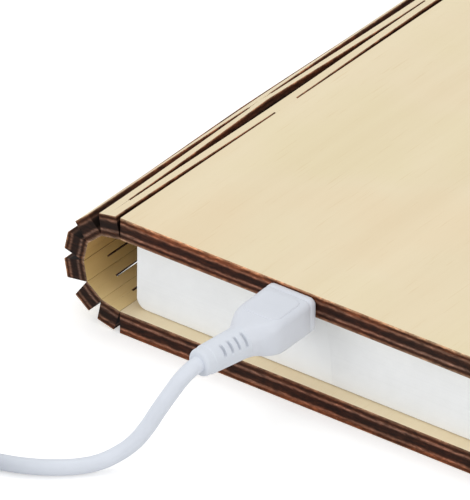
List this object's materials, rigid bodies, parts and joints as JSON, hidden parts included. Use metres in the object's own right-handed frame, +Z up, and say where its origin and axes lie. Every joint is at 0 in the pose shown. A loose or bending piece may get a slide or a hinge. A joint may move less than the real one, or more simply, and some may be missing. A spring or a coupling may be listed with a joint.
{
  "type": "folding book lamp",
  "caption": "Closed folding book lamp: slotted plywood cover with a living-hinge spine, fanning paper pages round a slim light core, and a plug-in charging lead.",
  "frame": {"origin": "middle of the closed book on the surface it lies on, under the centre of its bounding box without the charging lead", "axes": "+X from the spine to the fore edge, +Y from the tail to the head along the spine, +Z up through the front cover"},
  "size_m": [0.1849, 0.3198, 0.026],
  "materials": {
    "birch_plywood": "sanded birch plywood with laser-browned edges",
    "page_paper": "smooth uncoated white paper",
    "opal_housing": "opal diffusing plastic",
    "circuit_board": "green solder mask",
    "bright_steel": "nickel-plated steel",
    "cell_wrap": "shrink wrap",
    "wire_sleeve": "wire insulation",
    "light_chip": "yellow phosphor on white ceramic",
    "switch_glass": "clear glass tube",
    "lead_plastic": "satin moulded white plastic",
    "cord_jacket": "smooth white cord jacket",
    "tie_band": "reusable tie"
  },
  "bodies": {
    "back_cover": {"back_board": "birch_plywood", "back_endpaper": "page_paper", "back_magnets": "bright_steel", "core_housing": "opal_housing", "core_lid": "opal_housing", "battery_cell": "cell_wrap", "battery_wires": "wire_sleeve", "charge_board": "circuit_board", "charge_socket": "bright_steel", "light_board": "circuit_board", "light_chips": "light_chip", "reed_switch": "switch_glass"},
    "front_cover": {"front_board": "birch_plywood", "front_endpaper": "page_paper", "front_magnets": "bright_steel", "switch_magnet": "bright_steel"},
    "spine_1": {"spine_strip_1": "birch_plywood"},
    "spine_2": {"spine_strip_2": "birch_plywood"},
    "spine_3": {"spine_strip_3": "birch_plywood"},
    "spine_4": {"spine_strip_4": "birch_plywood"},
    "spine_5": {"spine_strip_5": "birch_plywood"},
    "spine_6": {"spine_strip_6": "birch_plywood"},
    "leaf_01": {"page_01": "page_paper"},
    "leaf_02": {"page_02": "page_paper"},
    "leaf_03": {"page_03": "page_paper"},
    "leaf_04": {"page_04": "page_paper"},
    "leaf_05": {"page_05": "page_paper"},
    "leaf_06": {"page_06": "page_paper"},
    "leaf_07": {"page_07": "page_paper"},
    "leaf_08": {"page_08": "page_paper"},
    "leaf_09": {"page_09": "page_paper"},
    "leaf_10": {"page_10": "page_paper"},
    "leaf_11": {"page_11": "page_paper"},
    "charging_lead": {"plug_shell": "bright_steel", "plug_body": "lead_plastic", "plug_relief": "lead_plastic", "cord_run": "cord_jacket", "cord_coil": "cord_jacket", "cord_tail": "cord_jacket", "coil_tie": "tie_band", "adapter_relief": "lead_plastic", "adapter_body": "lead_plastic", "adapter_shell": "bright_steel"}
  },
  "joints": [
    {"name": "leaf_01_swing", "type": "hinge", "parent": "back_cover", "child": "leaf_01", "pos_m": [-0.07719, 0, 0.0053], "axis": [0, -1, 0], "range_deg": [0, 15]},
    {"name": "leaf_02_swing", "type": "hinge", "parent": "back_cover", "child": "leaf_02", "pos_m": [-0.07719, 0, 0.0053], "axis": [0, -1, 0], "range_deg": [0, 30]},
    {"name": "leaf_03_swing", "type": "hinge", "parent": "back_cover", "child": "leaf_03", "pos_m": [-0.07719, 0, 0.0053], "axis": [0, -1, 0], "range_deg": [0, 45]},
    {"name": "leaf_04_swing", "type": "hinge", "parent": "back_cover", "child": "leaf_04", "pos_m": [-0.07719, 0, 0.0053], "axis": [0, -1, 0], "range_deg": [0, 60]},
    {"name": "leaf_05_swing", "type": "hinge", "parent": "back_cover", "child": "leaf_05", "pos_m": [-0.07719, 0, 0.0053], "axis": [0, -1, 0], "range_deg": [0, 75]},
    {"name": "leaf_06_swing", "type": "hinge", "parent": "back_cover", "child": "leaf_06", "pos_m": [-0.07719, 0, 0.0053], "axis": [0, -1, 0], "range_deg": [0, 90]},
    {"name": "leaf_07_swing", "type": "hinge", "parent": "leaf_06", "child": "leaf_07", "pos_m": [-0.07719, 0, 0.0207], "axis": [0, -1, 0], "range_deg": [0, 15]},
    {"name": "leaf_08_swing", "type": "hinge", "parent": "leaf_06", "child": "leaf_08", "pos_m": [-0.07719, 0, 0.0207], "axis": [0, -1, 0], "range_deg": [0, 30]},
    {"name": "leaf_09_swing", "type": "hinge", "parent": "leaf_06", "child": "leaf_09", "pos_m": [-0.07719, 0, 0.0207], "axis": [0, -1, 0], "range_deg": [0, 45]},
    {"name": "leaf_10_swing", "type": "hinge", "parent": "leaf_06", "child": "leaf_10", "pos_m": [-0.07719, 0, 0.0207], "axis": [0, -1, 0], "range_deg": [0, 60]},
    {"name": "leaf_11_swing", "type": "hinge", "parent": "leaf_06", "child": "leaf_11", "pos_m": [-0.07719, 0, 0.0207], "axis": [0, -1, 0], "range_deg": [0, 75]},
    {"name": "front_cover_swing", "type": "hinge", "parent": "leaf_06", "child": "front_cover", "pos_m": [-0.07719, 0, 0.0207], "axis": [0, -1, 0], "range_deg": [0, 90]},
    {"name": "spine_6_fold", "type": "hinge", "parent": "back_cover", "child": "spine_6", "pos_m": [-0.07156, 0, 0.0049], "axis": [0, -1, 0], "range_deg": [0, 14]},
    {"name": "spine_5_fold", "type": "hinge", "parent": "spine_6", "child": "spine_5", "pos_m": [-0.07587, 0, 0.00597], "axis": [0, -1, 0], "range_deg": [0, 24]},
    {"name": "spine_4_fold", "type": "hinge", "parent": "spine_5", "child": "spine_4", "pos_m": [-0.07937, 0, 0.00871], "axis": [0, -1, 0], "range_deg": [0, 41]},
    {"name": "spine_1_fold", "type": "hinge", "parent": "front_cover", "child": "spine_1", "pos_m": [-0.07157, 0, 0.0211], "axis": [0, 1, 0], "range_deg": [0, 10]},
    {"name": "spine_2_fold", "type": "hinge", "parent": "spine_1", "child": "spine_2", "pos_m": [-0.07594, 0, 0.02033], "axis": [0, 1, 0], "range_deg": [0, 31]},
    {"name": "spine_3_fold", "type": "hinge", "parent": "spine_2", "child": "spine_3", "pos_m": [-0.0793, 0, 0.01741], "axis": [0, 1, 0], "range_deg": [0, 37]},
    {"name": "lead_pull", "type": "slide", "parent": "back_cover", "child": "charging_lead", "axis": [0, -1, 0], "range_m": [0, 0.008]}
  ],
  "couplings": [
    {"joint": "leaf_01_swing", "follows": "front_cover_swing", "ratio": 0.16667},
    {"joint": "leaf_02_swing", "follows": "front_cover_swing", "ratio": 0.33333},
    {"joint": "leaf_03_swing", "follows": "front_cover_swing", "ratio": 0.5},
    {"joint": "leaf_04_swing", "follows": "front_cover_swing", "ratio": 0.66667},
    {"joint": "leaf_05_swing", "follows": "front_cover_swing", "ratio": 0.83333},
    {"joint": "leaf_06_swing", "follows": "front_cover_swing", "ratio": 1},
    {"joint": "leaf_07_swing", "follows": "front_cover_swing", "ratio": 0.16667},
    {"joint": "leaf_08_swing", "follows": "front_cover_swing", "ratio": 0.33333},
    {"joint": "leaf_09_swing", "follows": "front_cover_swing", "ratio": 0.5},
    {"joint": "leaf_10_swing", "follows": "front_cover_swing", "ratio": 0.66667},
    {"joint": "leaf_11_swing", "follows": "front_cover_swing", "ratio": 0.83333},
    {"joint": "spine_6_fold", "follows": "front_cover_swing", "ratio": 0.15555},
    {"joint": "spine_5_fold", "follows": "front_cover_swing", "ratio": 0.26667},
    {"joint": "spine_4_fold", "follows": "front_cover_swing", "ratio": 0.45555},
    {"joint": "spine_1_fold", "follows": "front_cover_swing", "ratio": 0.11111},
    {"joint": "spine_2_fold", "follows": "front_cover_swing", "ratio": 0.34444},
    {"joint": "spine_3_fold", "follows": "front_cover_swing", "ratio": 0.41111}
  ]
}
